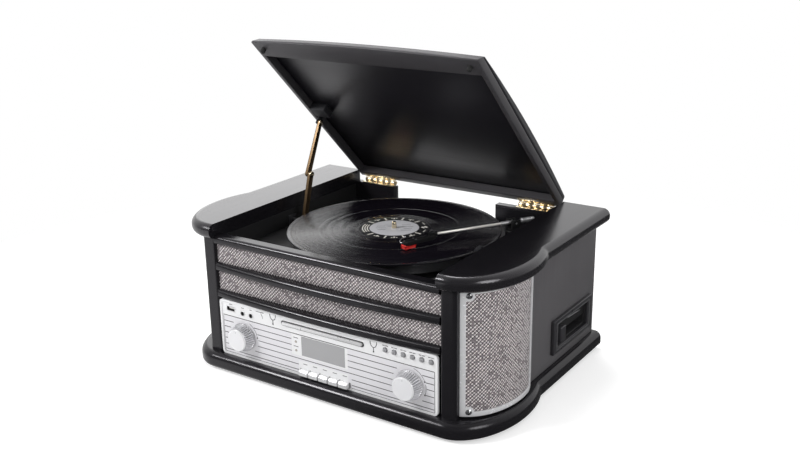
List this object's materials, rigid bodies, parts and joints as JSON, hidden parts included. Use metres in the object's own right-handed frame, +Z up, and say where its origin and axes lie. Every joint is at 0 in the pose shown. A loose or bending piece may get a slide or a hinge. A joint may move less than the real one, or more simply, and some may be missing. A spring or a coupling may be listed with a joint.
{
  "type": "record player",
  "caption": "Retro tabletop record player: lobed black wooden cabinet, open hinged lid on a folding stay, tonearm, silver radio front, disc tray and side cassette slot.",
  "frame": {"origin": "on the floor under the middle of the whole object, with the lid open as stored", "axes": "+X to the object's right, -Y out of the control front, +Z up"},
  "size_m": [0.5238, 0.37, 0.4576],
  "materials": {
    "black_wood": "satin black lacquer over fine wood grain",
    "raw_board": "plain fibreboard",
    "black_rubber": "matt black rubber",
    "tweed_cloth": "grey speckled tweed weave",
    "white_metal": "smooth pale silver paint",
    "silver_plate": "fine brushed silver with engraved lines",
    "steel": "plain steel",
    "brass": "polished brass",
    "bronze": "dark bronze",
    "black_plastic": "matt black",
    "black_gloss_plastic": "glossy black vinyl",
    "red_plastic": "glossy red",
    "grey_display": "flat grey display window",
    "circuit": "green circuit board and dark parts",
    "silver_plastic": "silver coated plastic"
  },
  "bodies": {
    "cabinet": {"plinth": "black_wood", "feet": "black_rubber", "side_panels": "black_wood", "back_panel": "black_wood", "front_posts": "black_wood", "top_rail": "black_wood", "bowed_rails": "black_wood", "inner_frame": "raw_board", "grille_cloths": "tweed_cloth", "side_wings": "black_wood", "speaker_frames": "white_metal", "frame_screws": "steel", "speaker_drivers": "black_plastic", "deck_plate": "black_plastic", "drive_motor": "steel", "drive_belt": "black_rubber", "arm_pedestal": "black_plastic", "arm_rest": "black_plastic", "control_plate": "silver_plate", "display_window": "grey_display", "front_sockets": "black_plastic", "cd_loader": "black_plastic", "cassette_bezel": "black_plastic", "cassette_deck": "black_plastic", "power_board": "circuit", "rear_sockets": "black_plastic", "hinge_rear_leaves": "brass", "stay_bracket": "bronze"},
    "lid": {"lid_frame": "black_wood", "lid_panel": "black_wood", "lid_bumpers": "black_rubber", "hinge_lid_leaves": "brass", "stay_block": "bronze"},
    "stay_upper": {"stay_upper_link": "bronze"},
    "stay_lower": {"stay_lower_link": "bronze"},
    "turntable": {"platter": "silver_plastic", "record": "black_gloss_plastic", "spindle": "steel"},
    "pulley": {"motor_pulley": "steel"},
    "arm_base": {"arm_gimbal": "black_plastic"},
    "arm": {"arm_tube": "steel", "headshell": "black_plastic", "cartridge": "red_plastic"},
    "volume": {"volume_knob": "silver_plastic"},
    "tuning": {"tuning_knob": "silver_plastic"},
    "tray": {"cd_tray": "silver_plastic"},
    "cassette_push": {"cassette_button": "black_plastic"},
    "speed": {"speed_switch": "black_plastic"},
    "button_1": {"round_button_1": "silver_plastic"},
    "button_2": {"round_button_2": "silver_plastic"},
    "button_3": {"round_button_3": "silver_plastic"},
    "button_4": {"round_button_4": "silver_plastic"},
    "button_5": {"round_button_5": "silver_plastic"},
    "button_6": {"round_button_6": "silver_plastic"},
    "key_1": {"function_key_1": "silver_plastic"},
    "key_2": {"function_key_2": "silver_plastic"},
    "key_3": {"function_key_3": "silver_plastic"},
    "key_4": {"function_key_4": "silver_plastic"},
    "key_5": {"function_key_5": "silver_plastic"}
  },
  "joints": [
    {"name": "lid_hinge", "type": "hinge", "parent": "cabinet", "child": "lid", "pos_m": [0, 0.17305, 0.2025], "axis": [1, 0, 0], "range_deg": [0, 44.5]},
    {"name": "stay_upper_pivot", "type": "hinge", "parent": "lid", "child": "stay_upper", "pos_m": [-0.16, 0.05126, 0.31882], "axis": [1, 0, 0], "range_deg": [-97, 0]},
    {"name": "stay_lower_pivot", "type": "hinge", "parent": "cabinet", "child": "stay_lower", "pos_m": [-0.16, -0.00145, 0.178], "axis": [1, 0, 0], "range_deg": [0, 105]},
    {"name": "platter_spin", "type": "hinge", "parent": "cabinet", "child": "turntable", "pos_m": [0.002, 0.00205, 0.194], "axis": [0, 0, 1], "continuous": true},
    {"name": "pulley_spin", "type": "hinge", "parent": "cabinet", "child": "pulley", "pos_m": [-0.06871, -0.06866, 0.17], "axis": [0, 0, 1], "continuous": true},
    {"name": "arm_swing", "type": "hinge", "parent": "cabinet", "child": "arm_base", "pos_m": [0.149, 0.07955, 0.206], "axis": [0, 0, 1], "range_deg": [-10, 34.2]},
    {"name": "arm_lift", "type": "hinge", "parent": "arm_base", "child": "arm", "pos_m": [0.149, 0.07955, 0.206], "axis": [-0.8425, 0.5388, 0], "range_deg": [0, 3]},
    {"name": "volume_turn", "type": "hinge", "parent": "cabinet", "child": "volume", "pos_m": [-0.137, -0.16895, 0.059], "axis": [0, -1, 0], "range_deg": [-150, 150]},
    {"name": "tuning_turn", "type": "hinge", "parent": "cabinet", "child": "tuning", "pos_m": [0.137, -0.16895, 0.059], "axis": [0, -1, 0], "continuous": true},
    {"name": "tray_slide", "type": "slide", "parent": "cabinet", "child": "tray", "axis": [0, -1, 0], "range_m": [0, 0.13]},
    {"name": "cassette_push_slide", "type": "slide", "parent": "cabinet", "child": "cassette_push", "axis": [-1, 0, 0], "range_m": [0, 0.005], "stiffness_N_per_m": 400, "springref_m": -0.001},
    {"name": "speed_turn", "type": "hinge", "parent": "cabinet", "child": "speed", "pos_m": [0.16, -0.12045, 0.17], "axis": [0, 0, 1], "range_deg": [-25, 25]},
    {"name": "button_1_press", "type": "slide", "parent": "cabinet", "child": "button_1", "axis": [0, 1, 0], "range_m": [0, 0.0015], "stiffness_N_per_m": 500, "springref_m": -0.0005},
    {"name": "button_2_press", "type": "slide", "parent": "cabinet", "child": "button_2", "axis": [0, 1, 0], "range_m": [0, 0.0015], "stiffness_N_per_m": 500, "springref_m": -0.0005},
    {"name": "button_3_press", "type": "slide", "parent": "cabinet", "child": "button_3", "axis": [0, 1, 0], "range_m": [0, 0.0015], "stiffness_N_per_m": 500, "springref_m": -0.0005},
    {"name": "button_4_press", "type": "slide", "parent": "cabinet", "child": "button_4", "axis": [0, 1, 0], "range_m": [0, 0.0015], "stiffness_N_per_m": 500, "springref_m": -0.0005},
    {"name": "button_5_press", "type": "slide", "parent": "cabinet", "child": "button_5", "axis": [0, 1, 0], "range_m": [0, 0.0015], "stiffness_N_per_m": 500, "springref_m": -0.0005},
    {"name": "button_6_press", "type": "slide", "parent": "cabinet", "child": "button_6", "axis": [0, 1, 0], "range_m": [0, 0.0015], "stiffness_N_per_m": 500, "springref_m": -0.0005},
    {"name": "key_1_press", "type": "slide", "parent": "cabinet", "child": "key_1", "axis": [0, 1, 0], "range_m": [0, 0.0025], "stiffness_N_per_m": 500, "springref_m": -0.0005},
    {"name": "key_2_press", "type": "slide", "parent": "cabinet", "child": "key_2", "axis": [0, 1, 0], "range_m": [0, 0.0025], "stiffness_N_per_m": 500, "springref_m": -0.0005},
    {"name": "key_3_press", "type": "slide", "parent": "cabinet", "child": "key_3", "axis": [0, 1, 0], "range_m": [0, 0.0025], "stiffness_N_per_m": 500, "springref_m": -0.0005},
    {"name": "key_4_press", "type": "slide", "parent": "cabinet", "child": "key_4", "axis": [0, 1, 0], "range_m": [0, 0.0025], "stiffness_N_per_m": 500, "springref_m": -0.0005},
    {"name": "key_5_press", "type": "slide", "parent": "cabinet", "child": "key_5", "axis": [0, 1, 0], "range_m": [0, 0.0025], "stiffness_N_per_m": 500, "springref_m": -0.0005}
  ],
  "couplings": [
    {"joint": "stay_upper_pivot", "follows": "lid_hinge", "ratio": -2.1532},
    {"joint": "stay_lower_pivot", "follows": "lid_hinge", "ratio": 2.3279},
    {"joint": "pulley_spin", "follows": "platter_spin", "ratio": 11.333}
  ]
}
